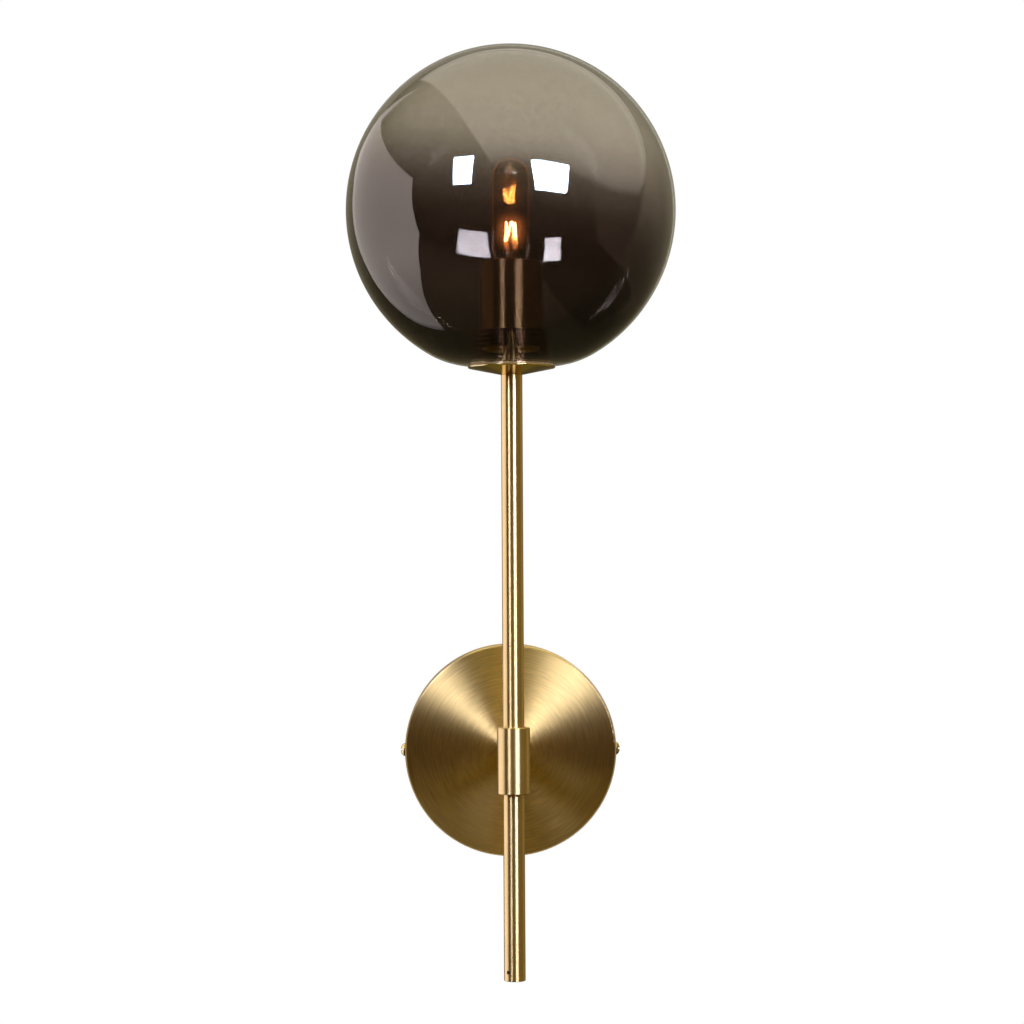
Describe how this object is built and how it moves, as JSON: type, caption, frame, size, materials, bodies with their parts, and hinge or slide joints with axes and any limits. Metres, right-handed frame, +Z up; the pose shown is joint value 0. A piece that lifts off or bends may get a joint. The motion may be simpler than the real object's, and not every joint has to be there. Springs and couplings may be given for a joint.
{
  "type": "globe wall sconce",
  "caption": "Wall light with a smoked glass globe on a slim brass rod, held in a short sleeve on an arm from a round wall rose, lit by a clear tubular bulb.",
  "frame": {"origin": "on the wall, in the centre of the rose, where the arm's axis meets the wall", "axes": "+Z up along the rod, +X to the right seen from the room, +Y into the wall, so that the light stands out towards -Y"},
  "size_m": [0.2, 0.22, 0.5641],
  "materials": {
    "satin_brass": "satin, drawn along its length",
    "brushed_brass": "turned brushing in fine rings",
    "polished_brass": "polished",
    "plain_brass": "plain turned",
    "zinc_steel": "zinc plated",
    "dark_steel": "blackened",
    "nickel": "nickel plated",
    "solder": "dull solder",
    "smoked_glass": "smoked, lighter at the crown, half mirrored",
    "clear_glass": "clear",
    "black_glass": "opaque and glossy",
    "white_ceramic": "matt",
    "white_nylon": "matt",
    "black_plastic": "matt",
    "clear_silicone": "matt",
    "brown_pvc": "matt",
    "blue_pvc": "matt",
    "earth_pvc": "matt, green and yellow",
    "hot_filament": "glowing"
  },
  "bodies": {
    "bracket": {"wall_bracket": "zinc_steel", "bracket_earth_screw": "plain_brass", "bracket_earth_washer": "plain_brass"},
    "side_screw_left": {"side_screw_left": "polished_brass"},
    "side_screw_right": {"side_screw_right": "polished_brass"},
    "fixture": {"rose": "brushed_brass", "terminal_plate": "zinc_steel", "terminal_block": "white_nylon", "terminal_tubes": "plain_brass", "terminal_screws": "zinc_steel", "block_screws": "zinc_steel", "earth_tag": "plain_brass", "arm_nipple": "zinc_steel", "arm_washer": "zinc_steel", "arm_nut": "zinc_steel", "nipple_end_cap": "black_plastic", "arm_tube": "satin_brass", "sleeve": "satin_brass", "sleeve_set_screw": "dark_steel", "live_wire": "brown_pvc", "neutral_wire": "blue_pvc", "earth_wire": "earth_pvc"},
    "rod": {"rod": "satin_brass", "rod_end_plug": "satin_brass", "end_plug_screw": "dark_steel", "dish": "polished_brass", "globe_gasket": "clear_silicone", "globe_collar": "plain_brass", "live_wire_rise": "brown_pvc", "neutral_wire_rise": "blue_pvc", "live_wire_tail": "brown_pvc", "neutral_wire_tail": "blue_pvc", "holder_nipple": "zinc_steel", "holder_washer": "zinc_steel", "holder_nut": "zinc_steel", "holder_cup": "satin_brass", "holder_base": "black_plastic", "holder_lock_screw": "dark_steel", "holder_insert": "white_ceramic", "holder_terminals": "plain_brass", "holder_terminal_screws": "zinc_steel", "holder_barrel": "black_plastic", "screw_shell": "nickel", "centre_contact": "plain_brass"},
    "globe": {"globe_glass": "smoked_glass", "globe_neck_ring": "polished_brass"},
    "bulb": {"bulb_glass": "clear_glass", "bulb_cap": "nickel", "bulb_insulator": "black_glass", "bulb_contact": "solder", "bulb_stem": "clear_glass", "bulb_leads": "nickel", "bulb_anchors": "nickel", "bulb_filament": "hot_filament"}
  },
  "joints": [
    {"name": "side_screw_left_out", "type": "slide", "parent": "bracket", "child": "side_screw_left", "axis": [-1, 0, 0], "range_m": [0, 0.006]},
    {"name": "side_screw_right_out", "type": "slide", "parent": "bracket", "child": "side_screw_right", "axis": [1, 0, 0], "range_m": [0, 0.006]},
    {"name": "rose_off", "type": "slide", "parent": "bracket", "child": "fixture", "axis": [0, -1, 0], "range_m": [0, 0.03]},
    {"name": "rod_height", "type": "slide", "parent": "fixture", "child": "rod", "axis": [0, 0, 1], "range_m": [-0.008, 0.008], "deforming": ["live_wire_rise", "neutral_wire_rise"]},
    {"name": "globe_off", "type": "slide", "parent": "rod", "child": "globe", "axis": [0, 0, 1], "range_m": [0, 0.14]},
    {"name": "bulb_out", "type": "slide", "parent": "rod", "child": "bulb", "axis": [0, 0, 1], "range_m": [0, 0.03]}
  ]
}
